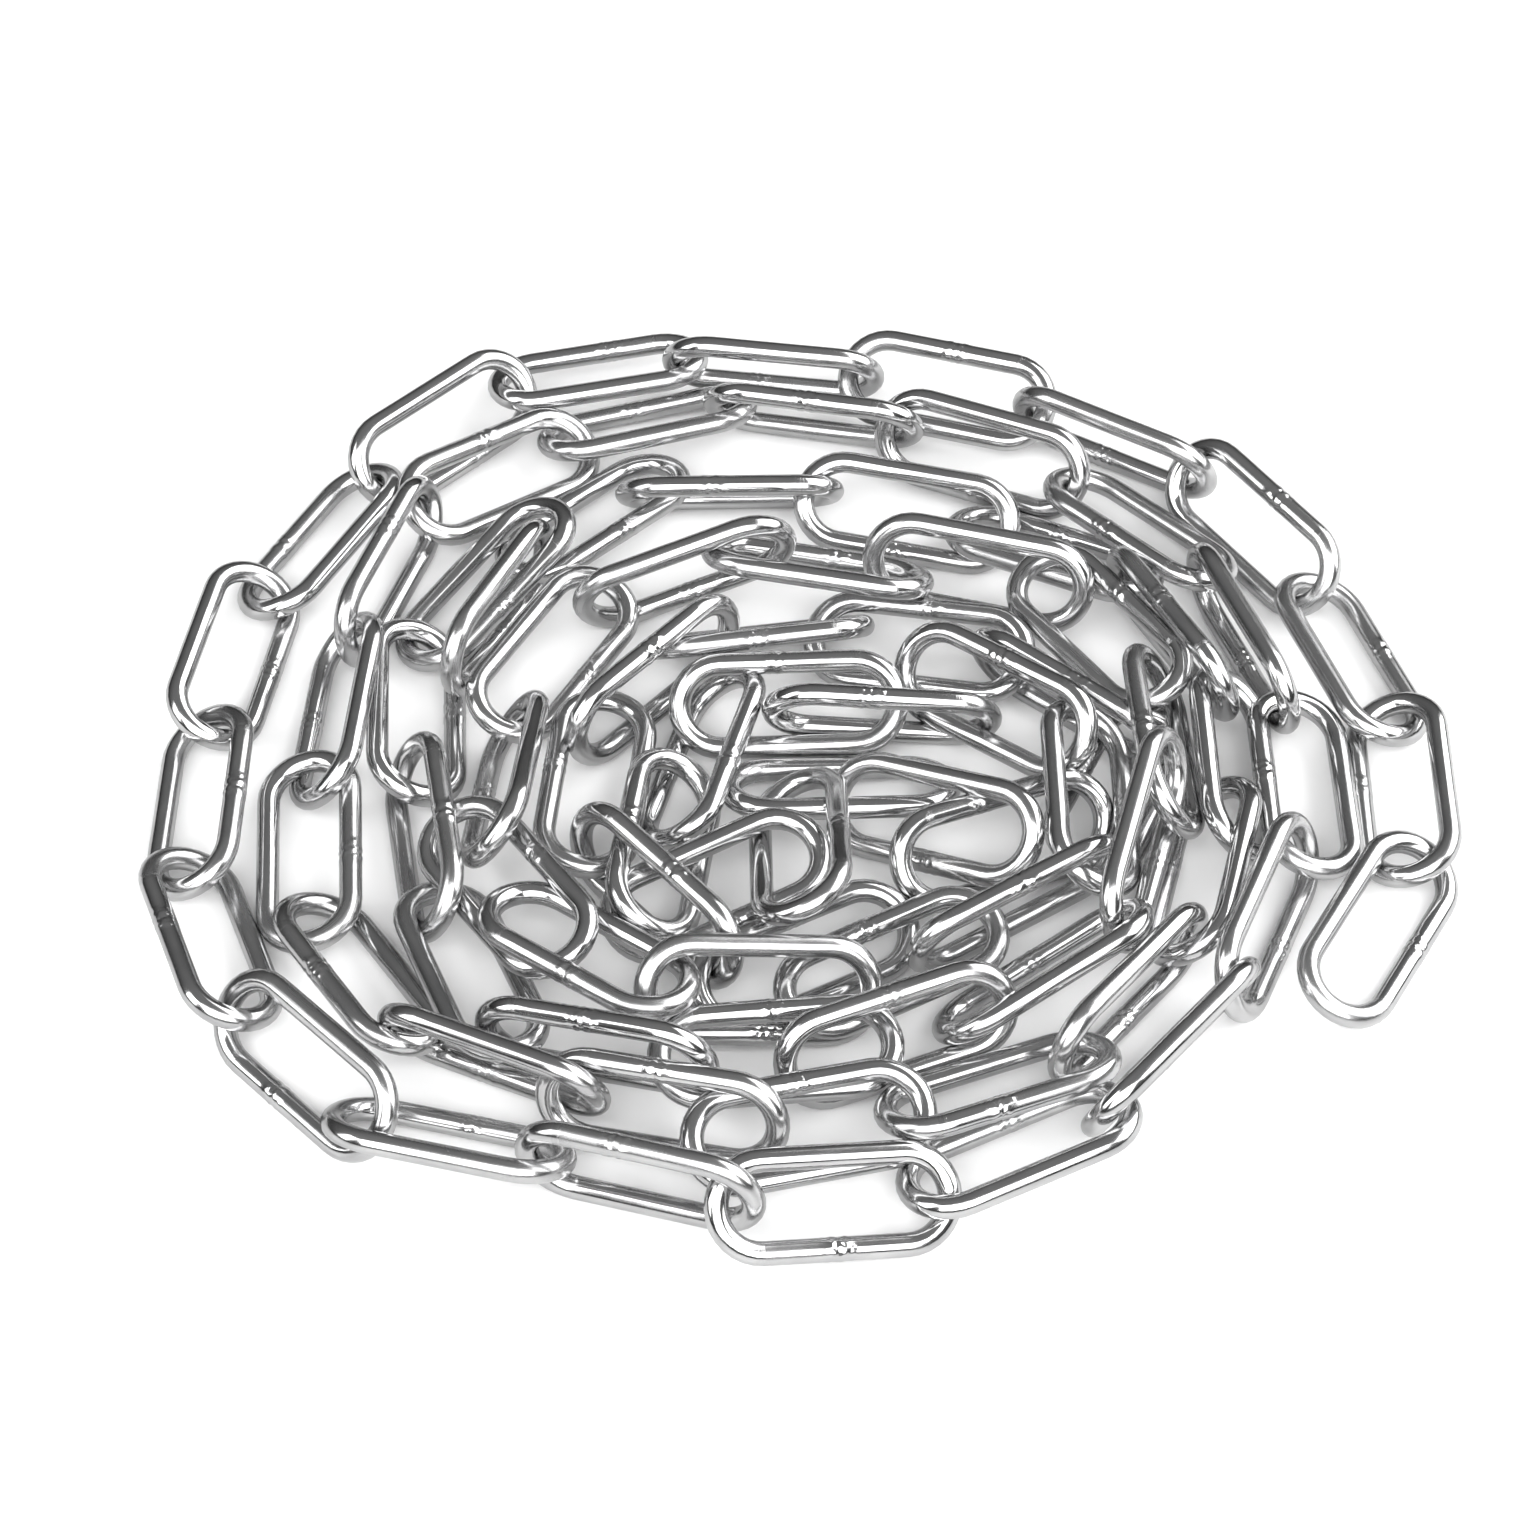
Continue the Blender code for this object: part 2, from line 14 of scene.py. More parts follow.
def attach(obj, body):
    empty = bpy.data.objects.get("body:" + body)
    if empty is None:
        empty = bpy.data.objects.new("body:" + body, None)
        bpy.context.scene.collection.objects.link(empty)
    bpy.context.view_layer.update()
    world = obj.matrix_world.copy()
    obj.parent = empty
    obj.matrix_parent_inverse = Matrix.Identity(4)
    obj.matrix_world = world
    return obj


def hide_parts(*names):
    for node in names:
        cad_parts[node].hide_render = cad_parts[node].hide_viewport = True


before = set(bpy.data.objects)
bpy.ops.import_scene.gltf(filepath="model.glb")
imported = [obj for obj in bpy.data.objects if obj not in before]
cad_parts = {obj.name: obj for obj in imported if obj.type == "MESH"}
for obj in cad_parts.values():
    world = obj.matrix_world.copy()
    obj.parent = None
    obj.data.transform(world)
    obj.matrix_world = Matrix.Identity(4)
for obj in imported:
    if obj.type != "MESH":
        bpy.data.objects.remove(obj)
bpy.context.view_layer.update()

MM = 0.001

# Sizes of one link
WIRE = 4.0 * MM
LINK_LENGTH = 43.0 * MM
LINK_WIDTH = 19.0 * MM
BEND_RADIUS = (LINK_WIDTH - WIRE) / 2
HALF_STRAIGHT = (LINK_LENGTH - LINK_WIDTH) / 2

# The facets that the solids have, which the easing follows. Their corners lie outside the round wire, so
# that the volume is the same.
BEND_STEPS = 5
WIRE_SIDES = 8
CORNER_SHARE = 1.054
CORNER_RADIUS = WIRE / 2 * CORNER_SHARE
FACET_RADIUS = CORNER_RADIUS * math.cos(math.pi / WIRE_SIDES)

# Distances between centrelines: free neighbours, and the two links that share a node
APART = WIRE + 0.3 * MM
JOINED = 3.6 * MM

# The camera of the photo
PHOTO_SIZE = 1536
FOCAL_PIXELS = 3850.0
VIEW_DISTANCE = 690.0 * MM
VIEW_ELEVATION = math.radians(50.0)

# The free end link lies with one long side flat on the floor
END_ROLL = math.radians(22.5)

# One row a link from the free outer end to the free inner end, as read: pixels of the tip towards
# the link before and of the tip towards the link after, pixels of the midpoints of the long sides that
# can be seen, and the height of the link's middle above the floor in millimetres.
LINKS = [
    ((1328, 1002), (1423, 846), (), 5),
    ((1407, 862), (1392, 712), ((1362, 787), (1440, 787)), 5),
    ((1388, 722), (1308, 590), ((1385, 650),), 5),
    ((1322, 592), (1188, 468), ((1280, 500), (1235, 555)), 5),
    ((1200, 478), (1036, 412), ((1130, 426), (1140, 470)), 5),
    ((1050, 412), (858, 378), ((950, 354),), 5),
    ((867, 372), (683, 352), ((775, 345), (760, 373)), 5),
    ((697, 358), (505, 382), ((600, 347), (620, 388)), 5),
    ((538, 391), (345, 478), ((425, 402), (448, 480)), 5),
    ((384, 474), (252, 608), ((283, 538),), 5),
    ((258, 578), (200, 742), ((195, 640), (273, 675)), 5),
    ((213, 716), (190, 880), ((160, 800), (232, 790)), 5),
    ((182, 858), (240, 1022), ((172, 940), (250, 930)), 5),
    ((232, 1000), (380, 1132), ((278, 1095), (335, 1037)), 5),
    ((340, 1117), (560, 1163), ((460, 1115), (440, 1152)), 5),
    ((523, 1142), (746, 1198), ((620, 1143), (628, 1196)), 5),
    ((715, 1210), (952, 1192), ((830, 1155), (835, 1250)), 5),
    ((910, 1195), (1122, 1122), ((1010, 1130), (1030, 1185)), 5),
    ((1085, 1122), (1252, 978), ((1165, 1045), (1172, 1056)), 6),
    ((1222, 1000), (1303, 828), ((1250, 905), (1285, 945)), 6),
    ((1318, 862), (1292, 700), ((1285, 785), (1345, 780)), 6),
    ((1292, 722), (1198, 555), ((1248, 635), (1232, 650)), 6),
    ((1222, 585), (1058, 480), ((1160, 515), (1125, 540)), 6),
    ((1085, 478), (882, 428), ((980, 422),), 6),
    ((909, 424), (705, 404), ((800, 407), (830, 434)), 6),
    ((747, 398), (550, 436), ((640, 400), (650, 432)), 6),
    ((585, 440), (408, 512), ((475, 447), (515, 505)), 9),
    ((425, 492), (340, 650), ((372, 560), (400, 595)), 7),
    ((358, 628), (318, 802), ((315, 710), (360, 705)), 6),
    ((312, 768), (310, 945), ((270, 860), (350, 860)), 6),
    ((305, 905), (418, 1045), ((332, 970), (390, 970)), 6),
    ((388, 1020), (595, 1095), ((480, 1040), (485, 1075)), 7),
    ((557, 1090), (778, 1130), ((660, 1078),), 8),
    ((692, 1150), (930, 1108), ((800, 1100), (830, 1182)), 9),
    ((885, 1112), (1108, 1055), ((1000, 1060), (1000, 1113)), 7),
    ((1062, 1068), (1208, 935), ((1130, 995), (1140, 1008)), 8),
    ((1180, 950), (1228, 785), ((1182, 870), (1245, 870)), 8),
    ((1232, 855), (1225, 698), ((1198, 776), (1263, 776)), 8),
    ((1232, 708), (1118, 560), ((1170, 628), (1180, 640)), 8),
    ((1135, 580), (965, 530), ((1062, 540), (1060, 590)), 8),
    ((1005, 522), (808, 490), ((900, 466), (880, 545)), 9),
    ((838, 488), (622, 490), ((730, 485), (730, 495)), 12),
    ((677, 470), (510, 572), ((590, 485), (605, 540)), 8),
    ((548, 545), (452, 678), ((468, 592), (490, 612)), 9),
    ((550, 515), (425, 660), ((455, 575), (510, 600)), 16),
    ((415, 632), (415, 788), ((378, 710), (457, 710)), 10),
    ((415, 748), (440, 928), ((400, 840), (450, 820)), 9),
    ((430, 885), (510, 1062), ((425, 970), (510, 950)), 8),
    ((490, 1030), (703, 1062), ((600, 1022),), 8),
    ((657, 1055), (893, 1048), ((775, 1010), (770, 1092)), 13),
    ((793, 1080), (1003, 1008), ((900, 1000), (905, 1088)), 9),
    ((948, 1032), (1135, 925), ((1038, 973), (1046, 984)), 9),
    ((1108, 935), (1160, 758), ((1120, 830), (1160, 850)), 18),
    ((1165, 835), (1145, 663), ((1130, 730), (1181, 760)), 10),
    ((1165, 690), (1025, 558), ((1130, 595), (1060, 640)), 9),
    ((1082, 600), (876, 560), ((970, 540), (960, 620)), 10),
    ((920, 582), (713, 547), ((815, 560), (818, 570)), 10),
    ((778, 535), (592, 608), ((680, 543), (680, 595)), 9),
    ((618, 590), (490, 722), ((530, 625), (600, 668)), 7),
    ((528, 700), (482, 860), ((520, 780), (478, 785)), 9),
    ((440, 820), (575, 968), ((480, 935), (540, 875)), 11),
    ((508, 905), (682, 1002), ((575, 968), (610, 915)), 12),
    ((644, 985), (873, 985), ((755, 946), (760, 1028)), 15),
    ((800, 1008), (980, 925), ((885, 945),), 9),
    ((918, 950), (1122, 878), ((1020, 890), (1010, 942)), 11),
    ((1108, 895), (1095, 708), ((1075, 800), (1125, 800)), 12),
    ((1088, 803), (911, 679), ((975, 775), (1024, 707)), 12),
    ((988, 722), (775, 705), ((880, 697), (880, 730)), 12),
    ((895, 705), (680, 712), ((780, 667), (780, 752)), 15),
    ((738, 668), (667, 848), ((730, 770), (662, 760)), 12),
    ((676, 766), (648, 945), ((612, 852), (699, 852)), 10),
    ((598, 938), (820, 842), ((696, 861), (722, 919)), 13),
    ((815, 945), (808, 768), ((770, 868), (841, 850)), 12),
    ((717, 800), (957, 785), ((840, 768), (850, 813)), 6),
    ((838, 775), (1047, 815), ((945, 755), (940, 842)), 9),
    ((904, 867), (1114, 778), ((1000, 786), (1005, 874)), 7),
    ((1100, 825), (1155, 735), (), 3),
    ((1163, 745), (985, 655), ((1070, 695), (1078, 705)), 6),
    ((1027, 652), (812, 628), ((920, 603),), 8),
    ((870, 630), (650, 655), ((760, 638), (760, 648)), 9),
    ((733, 625), (588, 742), ((640, 655), (660, 705)), 9),
    ((600, 710), (580, 858), ((550, 780), (635, 775)), 9),
    ((582, 818), (737, 958), ((674, 854), (645, 921)), 10),
    ((703, 985), (895, 900), ((790, 903), (800, 990)), 9),
]
COUNT = len(LINKS)

# Heights of both tips in millimetres, for links that slope more than their neighbours tell. Link 45
# hangs on both its neighbours by one and the same tip.
TIP_HEIGHTS = {45: (21, 9)}

# Share of the neighbour's height in the height of a tip
LEAN = 0.4

# Linking numbers of joints whose way round the photo shows, by the joint's first link
WAY_ROUND = {61: 1, 72: 1, 73: -1}

# Links that lie over another where the photo shows it: (upper, lower), counted from 1
OVER = [
    (27, 9), (33, 50), (34, 17), (34, 50), (44, 59), (45, 43), (50, 63), (50, 64), (53, 65), (53, 66),
    (53, 76), (53, 77), (54, 78), (55, 40), (63, 64), (63, 83), (63, 84), (63, 73), (66, 65), (66, 67),
    (66, 76), (76, 67), (67, 77), (69, 81), (73, 75), (73, 84), (72, 74), (70, 74),
]

LOOK = np.array([0.0, math.cos(VIEW_ELEVATION), -math.sin(VIEW_ELEVATION)])
ACROSS = np.array([1.0, 0.0, 0.0])
UPWARD = np.array([0.0, math.sin(VIEW_ELEVATION), math.cos(VIEW_ELEVATION)])
EYE = -LOOK * VIEW_DISTANCE

# Least values to divide by
LEAST_AREA = 1e-15
LEAST_SQUARE = 1e-18
LEAST_CROSS = 1e-12
LEAST_LENGTH = 1e-9


def unit(vectors):
    """The directions of these vectors."""
    return vectors / np.sqrt((vectors * vectors).sum(-1, keepdims=True))


def place_of(pixel, height):
    """The point at this height above the floor that the photo shows at this pixel."""
    right = (pixel[0] - PHOTO_SIZE / 2) / FOCAL_PIXELS
    up = (PHOTO_SIZE / 2 - pixel[1]) / FOCAL_PIXELS
    ray = LOOK + right * ACROSS + up * UPWARD
    return EYE + ray * (height - EYE[2]) / ray[2]


def pixel_of(points):
    """Where the photo shows these points."""
    offset = points - EYE
    depth = (offset * LOOK).sum(-1)
    right = PHOTO_SIZE / 2 + FOCAL_PIXELS * (offset * ACROSS).sum(-1) / depth
    down = PHOTO_SIZE / 2 - FOCAL_PIXELS * (offset * UPWARD).sum(-1) / depth
    return np.stack([right, down], -1)


def oval():
    """Corners of a link's centreline: along the link, then across it."""
    angles = np.radians(np.linspace(-90, 90, BEND_STEPS + 1))
    along = HALF_STRAIGHT + BEND_RADIUS * np.cos(angles)
    half = np.stack([along, BEND_RADIUS * np.sin(angles)], -1)
    return np.concatenate([half, -half])


OVAL = oval()


def width_axis(axis, roll):
    """Direction across a link that is rolled about its long axis; a positive roll lifts its left side."""
    level = unit(np.cross([0.0, 0.0, 1.0], axis))
    return math.cos(roll) * level + math.sin(roll) * np.cross(axis, level)


def rings(centres, axes, widths):
    """Centreline corners of links with these centres and directions."""
    return centres[:, None] + OVAL[None, :, :1] * axes[:, None] + OVAL[None, :, 1:] * widths[:, None]


def read_axes():
    """Centre and long axis of each link, from its tips. A tip's height leans towards its neighbour's."""
    height = np.array([row[3] for row in LINKS]) * MM
    before = np.concatenate([height[:1], height[1:] + LEAN * (height[:-1] - height[1:])])
    after = np.concatenate([height[:-1] + LEAN * (height[1:] - height[:-1]), height[-1:]])
    for number, (first_tip, last_tip) in TIP_HEIGHTS.items():
        before[number - 1] = first_tip * MM
        after[number - 1] = last_tip * MM
    first = np.array([place_of(row[0], h) for row, h in zip(LINKS, before)])
    last = np.array([place_of(row[1], h) for row, h in zip(LINKS, after)])
    return (first + last) / 2, unit(last - first)


def crossings(one, other):
    """Linking number of two rings, with the height of one over the other where they cross from above."""
    step_one = (np.roll(one, -1, axis=-2) - one)[..., :, None, :]
    step_other = (np.roll(other, -1, axis=-2) - other)[..., None, :, :]
    start_one = one[..., :, None, :]
    start_other = other[..., None, :, :]
    area = step_one[..., 0] * step_other[..., 1] - step_one[..., 1] * step_other[..., 0]
    area = np.where(abs(area) < LEAST_AREA, LEAST_AREA, area)
    between = start_other - start_one
    s = (between[..., 0] * step_other[..., 1] - between[..., 1] * step_other[..., 0]) / area
    t = (between[..., 0] * step_one[..., 1] - between[..., 1] * step_one[..., 0]) / area
    hit = (s >= 0) & (s < 1) & (t >= 0) & (t < 1)
    rise = start_one[..., 2] + s * step_one[..., 2] - start_other[..., 2] - t * step_other[..., 2]
    number = np.where(hit, np.sign(area) * np.sign(rise), 0).sum((-1, -2)) / 2
    return number, rise, hit


# Rolls to choose from, how far a side's mark may be off in pixels, and what speaks against a roll: each
# radian squared, a wire that runs into the link before, and a joint that isn't threaded
ROLL_CHOICES = np.radians(np.arange(-85, 86, 10))
ERROR_ACROSS = 7.0
ERROR_ALONG = 20.0
ROLL_COST = 0.133
BITE_COST = 6.0
UNLINKED_COST = 100.0


def roll_cost(row, centre, axis, roll):
    """How badly a rolled link misses the places that were read on its long sides."""
    width = width_axis(axis, roll) * BEND_RADIUS
    ends = pixel_of(np.array([centre - axis * HALF_STRAIGHT, centre + axis * HALF_STRAIGHT]))
    along = unit(ends[1] - ends[0])
    errors = np.array([along / ERROR_ALONG, [-along[1] / ERROR_ACROSS, along[0] / ERROR_ACROSS]])
    sides = pixel_of(np.array([centre + width, centre - width]))
    marks = np.array(row[2], float).reshape(-1, 2)
    cost = ROLL_COST * roll ** 2
    if len(marks) == 2:
        side = sides[0] - sides[1]
        mark = marks[0] - marks[1]
        misses = np.array([side - mark, side + mark]) @ errors.T
        cost += (misses ** 2).sum(-1).min() / 2
    elif len(marks) == 1:
        cost += (((sides - marks) @ errors.T) ** 2).sum(-1).min()
    return cost


def choose_rolls(centres, axes):
    """The rolls that fit the readings best with every link threaded through the one before it."""
    choices = [np.array([END_ROLL])] + [ROLL_CHOICES] * (COUNT - 1)
    shapes = []
    costs = []
    for row, centre, axis, rolls in zip(LINKS, centres, axes, choices):
        widths = np.array([width_axis(axis, roll) for roll in rolls])
        shapes.append(rings(centre[None], axis[None], widths))
        costs.append(np.array([roll_cost(row, centre, axis, roll) for roll in rolls]))
    total = costs[0]
    best_before = []
    for i in range(1, COUNT):
        number, rise, hit = crossings(shapes[i - 1][:, None], shapes[i][None, :])
        bite = np.where(hit, np.clip(1 - abs(rise) / WIRE, 0, None) ** 2, 0).sum((-1, -2))
        joint = BITE_COST * bite + np.where(abs(number) == 1, 0, UNLINKED_COST)
        if i in WAY_ROUND:
            joint += np.where(number == WAY_ROUND[i], 0, UNLINKED_COST)
        both = total[:, None] + joint + costs[i][None, :]
        best_before.append(both.argmin(0))
        total = both.min(0)
    pick = int(total.argmin())
    picks = [pick]
    for column in reversed(best_before):
        pick = int(column[pick])
        picks.append(pick)
    picks.reverse()
    return [rolls[pick] for rolls, pick in zip(choices, picks)]


def closest(start_one, step_one, start_other, step_other):
    """Where two straight stretches come nearest: share along each, the gap as a vector and its size."""
    one_one = (step_one * step_one).sum(-1)
    one_other = (step_one * step_other).sum(-1)
    other_other = (step_other * step_other).sum(-1)
    between = start_one - start_other
    along_one = (step_one * between).sum(-1)
    along_other = (step_other * between).sum(-1)
    square = np.maximum(one_one * other_other - one_other * one_other, LEAST_SQUARE)
    s = np.clip((one_other * along_other - other_other * along_one) / square, 0, 1)
    t = np.clip((one_other * s + along_other) / other_other, 0, 1)
    s = np.clip((one_other * t - along_one) / one_one, 0, 1)
    gap = between + s[..., None] * step_one - t[..., None] * step_other
    return s, t, gap, np.sqrt((gap * gap).sum(-1))


# How far beyond touch two stretches still count as near
REACH = 3.0 * MM


def near_stretches(x):
    """Stretches of different links that lie near each other: link, corner, other link, other corner."""
    centre = x.mean(1)
    i, j = np.triu_indices(COUNT, 1)
    near = ((centre[i] - centre[j]) ** 2).sum(-1) < (LINK_LENGTH + REACH) ** 2
    i, j = i[near], j[near]
    step = np.roll(x, -1, axis=1) - x
    size = closest(x[i][:, :, None], step[i][:, :, None], x[j][:, None], step[j][:, None])[3]
    pair, a, b = np.nonzero(size < WIRE + REACH)
    return i[pair], a, j[pair], b


# Which long side of a link each stretch belongs to
SIDE = (OVAL + np.roll(OVAL, -1, axis=0))[:, 1] > 0


def who_is_over(x):
    """1 where a side of the first of two links starts over a side of the second, -1 where under it."""
    over = np.zeros((COUNT, COUNT, 2, 2))
    centre = x.mean(1)
    i, j = np.triu_indices(COUNT, 2)
    near = ((centre[i] - centre[j]) ** 2).sum(-1) < (LINK_LENGTH + WIRE) ** 2
    i, j = i[near], j[near]
    _, rise, hit = crossings(x[i], x[j])
    rise = rise * hit
    for one in range(2):
        for other in range(2):
            over[i, j, one, other] = np.sign(rise[:, SIDE == one][:, :, SIDE == other].sum((-1, -2)))
    for upper, lower in OVER:
        over[min(upper, lower) - 1, max(upper, lower) - 1] = 1 if upper < lower else -1
    return over


# One step of the easing: the greatest overlap that counts, the longest way a corner goes, how much of a
# push moves the link and how much turns it, and the least sine between wires that count as crossed
DEEPEST = 2.0 * MM
LONGEST_STEP = 0.4 * MM
PUSH_SHARE = 0.25
TURN_SHARE = 2.0
LEAST_CROSSING = 0.25


def push_apart(x, stretches, wanted, over, linked, keep_order):
    """One step that moves and turns links away from each other where they are too near."""
    i, a, j, b = stretches
    corners = x.shape[1]
    step = np.roll(x, -1, axis=1) - x
    s, t, gap, size = closest(x[i, a], step[i, a], x[j, b], step[j, b])
    away = gap / np.maximum(size, LEAST_LENGTH)[:, None]
    depth = wanted - size
    if keep_order:
        cross = np.cross(step[i, a], step[j, b])
        square = np.sqrt((cross * cross).sum(-1))
        full = np.sqrt((step[i, a] ** 2).sum(-1) * (step[j, b] ** 2).sum(-1))
        normal = cross / np.maximum(square, LEAST_CROSS)[:, None]
        to_camera = normal * np.sign(-(cross * LOOK).sum(-1))[:, None]
        to_sky = normal * np.sign(cross[:, 2:])
        neighbours = j - i == 1
        upward = np.where(neighbours[:, None], to_sky, to_camera)
        joint = linked[np.minimum(i, COUNT - 2)] * np.sign(cross[:, 2])
        order = np.where(neighbours, joint, over[i, j, SIDE[a] * 1, SIDE[b] * 1])
        signed = order * (gap * upward).sum(-1)
        crossed = (s > 0) & (s < 1) & (t > 0) & (t < 1) & (square > LEAST_CROSSING * full)
        wrong = crossed & (order != 0) & (signed < 0)
        away = np.where(wrong[:, None], upward * order[:, None], away)
        depth = np.where(wrong, wanted - signed, depth)
    depth = np.clip(depth, 0, DEEPEST)
    push = away * depth[:, None]
    turn = np.zeros_like(x)
    np.add.at(turn, (i, a), push * (1 - s)[:, None])
    np.add.at(turn, (i, (a + 1) % corners), push * s[:, None])
    np.add.at(turn, (j, b), -push * (1 - t)[:, None])
    np.add.at(turn, (j, (b + 1) % corners), -push * t[:, None])
    shift = np.zeros((COUNT, 3))
    np.add.at(shift, i, push)
    np.add.at(shift, j, -push)
    hits = np.zeros(COUNT)
    np.add.at(hits, i, depth > 0)
    np.add.at(hits, j, depth > 0)
    share = np.sqrt(np.maximum(hits, 1))[:, None, None]
    move = (PUSH_SHARE * shift[:, None] + TURN_SHARE * turn) / share
    length = np.sqrt((move * move).sum(-1, keepdims=True))
    return x + move * np.minimum(1, LONGEST_STEP / np.maximum(length, LEAST_LENGTH))


# Share of the free gap that the links of a node close in one step
DRAW_SHARE = 0.3


def draw_together(x):
    """Brings the two links of each node as near as they have to be to join."""
    first = np.arange(0, COUNT - 1, 2)
    step = np.roll(x, -1, axis=1) - x
    _, _, gap, size = closest(
        x[first][:, :, None], step[first][:, :, None], x[first + 1][:, None], step[first + 1][:, None]
    )
    nearest = size.reshape(len(first), -1).argmin(1)
    rows = np.arange(len(first))
    size = size.reshape(len(first), -1)[rows, nearest]
    gap = gap.reshape(len(first), -1, 3)[rows, nearest]
    distance = np.maximum(size, LEAST_LENGTH)[:, None]
    pull = DRAW_SHARE * gap / distance * np.maximum(size - JOINED, 0)[:, None]
    x = x.copy()
    x[first] -= pull[:, None]
    x[first + 1] += pull[:, None]
    return x


def make_rigid(x):
    """Centre, long axis and width direction of the true link that lies nearest to each ring of corners."""
    centre = x.mean(1)
    offset = x - centre[:, None]
    axis = unit((offset * OVAL[None, :, :1]).sum(1))
    width = (offset * OVAL[None, :, 1:]).sum(1)
    width = unit(width - (width * axis).sum(-1, keepdims=True) * axis)
    return centre, axis, width


def seat_end_link(centre, axis, width):
    """Lays the first link on the floor with the flat facet of one long side."""
    axis[0, 2] = 0
    axis[0] = unit(axis[0])
    width[0] = width_axis(axis[0], END_ROLL)
    centre[0, 2] = FACET_RADIUS + BEND_RADIUS * math.sin(END_ROLL)


# Rounds of the easing, the steps in each, and the rounds for which a list of near stretches serves; how
# much of the way back to its place in the photo a link goes in a round, how far it sinks, and the share of
# both that is left at the end
ROUNDS = 600
STEPS = 3
LIST_ROUNDS = 8
HOLD = 0.07
FALL = 0.06 * MM
SLOW = 0.3

# Shares of the rounds at which the easing changes
NEIGHBOURS_FIRST = 0.12
FALL_START = 0.15
ORDER_END = 0.75
SLOW_START = 0.65
HOLD_END = 0.8


def ease_apart(x):
    """Lowers the links along the camera's rays onto the floor and each other, and clears every overlap."""
    target = x.copy()
    ray = unit(x.mean(1) - EYE)
    drop = (ray / -ray[:, 2:])[:, None]
    ray = ray[:, None]
    over = who_is_over(x)
    threading = np.sign(crossings(x[:-1], x[1:])[0])
    first = np.arange(0, COUNT - 1, 2)
    joined = np.zeros((COUNT, COUNT), bool)
    joined[first, first + 1] = True
    for count in range(ROUNDS):
        share = count / ROUNDS
        slow = 1.0 if share < SLOW_START else SLOW
        if count % LIST_ROUNDS == 0:
            twice = crossings(x[:-1], x[1:])[2].sum((-1, -2)) == 2
            linked = np.where(twice, threading, 0)
            i, a, j, b = near_stretches(x)
            if share < NEIGHBOURS_FIRST:
                neighbours = j - i == 1
                i, a, j, b = i[neighbours], a[neighbours], j[neighbours], b[neighbours]
            wanted = np.where(joined[i, j], JOINED, APART)
        if share < HOLD_END:
            pull = target - x
            pull -= (pull * ray).sum(-1, keepdims=True) * ray
            x = x + HOLD * slow * pull
        if FALL_START < share < HOLD_END:
            x = x + FALL * slow * drop
        for _ in range(STEPS):
            x = push_apart(x, (i, a, j, b), wanted, over, linked, share < ORDER_END)
            x = draw_together(x)
            x[..., 2] = np.maximum(x[..., 2], CORNER_RADIUS)
            centre, axis, width = make_rigid(x)
            seat_end_link(centre, axis, width)
            x = rings(centre, axis, width)
            sunk = np.maximum(CORNER_RADIUS - x[1:, :, 2], 0).max(1)
            x[1:] -= drop[1:] * sunk[:, None, None]
    return make_rigid(x)


def place_links():
    """Centre, long axis and width direction of every link, and the way back to the photo's own origin."""
    centres, axes = read_axes()
    rolls = choose_rolls(centres, axes)
    widths = np.array([width_axis(axis, roll) for axis, roll in zip(axes, rolls)])
    centres, axes, widths = ease_apart(rings(centres, axes, widths))
    corners = rings(centres, axes, widths).reshape(-1, 3)
    middle = (corners.min(0) + corners.max(0)) / 2
    back = np.array([middle[0], middle[1], 0.0])
    return centres - back, axes, widths, back


# Pixels of the butt welds that can be seen, by link
WELD_MARKS = {
    1: (1405, 945), 2: (1365, 790), 3: (1388, 650), 4: (1278, 502), 5: (1090, 445), 7: (755, 368),
    8: (610, 345), 9: (490, 445), 10: (275, 548), 11: (273, 675), 12: (232, 790), 13: (162, 922),
    14: (278, 1095), 15: (475, 1122), 16: (615, 1138), 17: (835, 1246), 18: (1010, 1130),
    20: (1275, 950), 23: (1105, 533), 25: (805, 405), 26: (632, 402), 28: (390, 530), 29: (306, 725),
    30: (347, 860), 31: (320, 970), 32: (480, 1080), 33: (657, 1075), 34: (797, 1103),
    35: (1000, 1112), 36: (1110, 1010), 37: (1192, 830), 38: (1258, 760), 39: (1163, 597),
    42: (700, 488), 43: (620, 525), 45: (495, 600), 46: (455, 715), 47: (450, 815), 48: (510, 945),
    53: (1155, 862), 54: (1130, 737), 55: (1125, 592), 57: (840, 558), 58: (690, 588), 60: (475, 790),
    61: (530, 862), 62: (575, 965), 64: (868, 945), 65: (1025, 885), 68: (870, 700), 69: (775, 665),
    70: (728, 765), 74: (955, 757), 76: (975, 808), 78: (1092, 690), 79: (932, 606), 80: (755, 645),
    82: (550, 765), 83: (690, 865),
}

# How far from the middle of its side a weld may lie: where the photo shows it, and where it doesn't
WELD_WANDER = 3.0 * MM
HIDDEN_WANDER = 0.8 * MM
WELD_PLACES = 13

# The round wire's mesh, with finer steps as far as the weld reaches
ROUND_SIDES = 24
ARC_STEPS = 16
PLAIN_STEPS = 4
WELD_REACH = 3.2 * MM
WELD_STEP = 0.25 * MM

# Relief of a weld: half its length, how sharp and how ragged its edges are, the width of its notch, and
# how far before the fine steps end it fades
WELD_HALF = 1.9 * MM
WELD_EDGE = 0.3 * MM
RAGGED_EDGE = ((3, 0.25), (5, 0.18))
NOTCH_HALF = 0.3 * MM
WELD_FADE = 0.8 * MM
# Heights as shares of the wire's radius, and the waves of the lumps: turns round the wire, radians a metre
WELD_SWELL = 0.025
WELD_LUMPS = 0.04
WELD_NOTCH = 0.035
LUMP_WAVES = ((1, 2600), (3, -3600), (5, 4700))

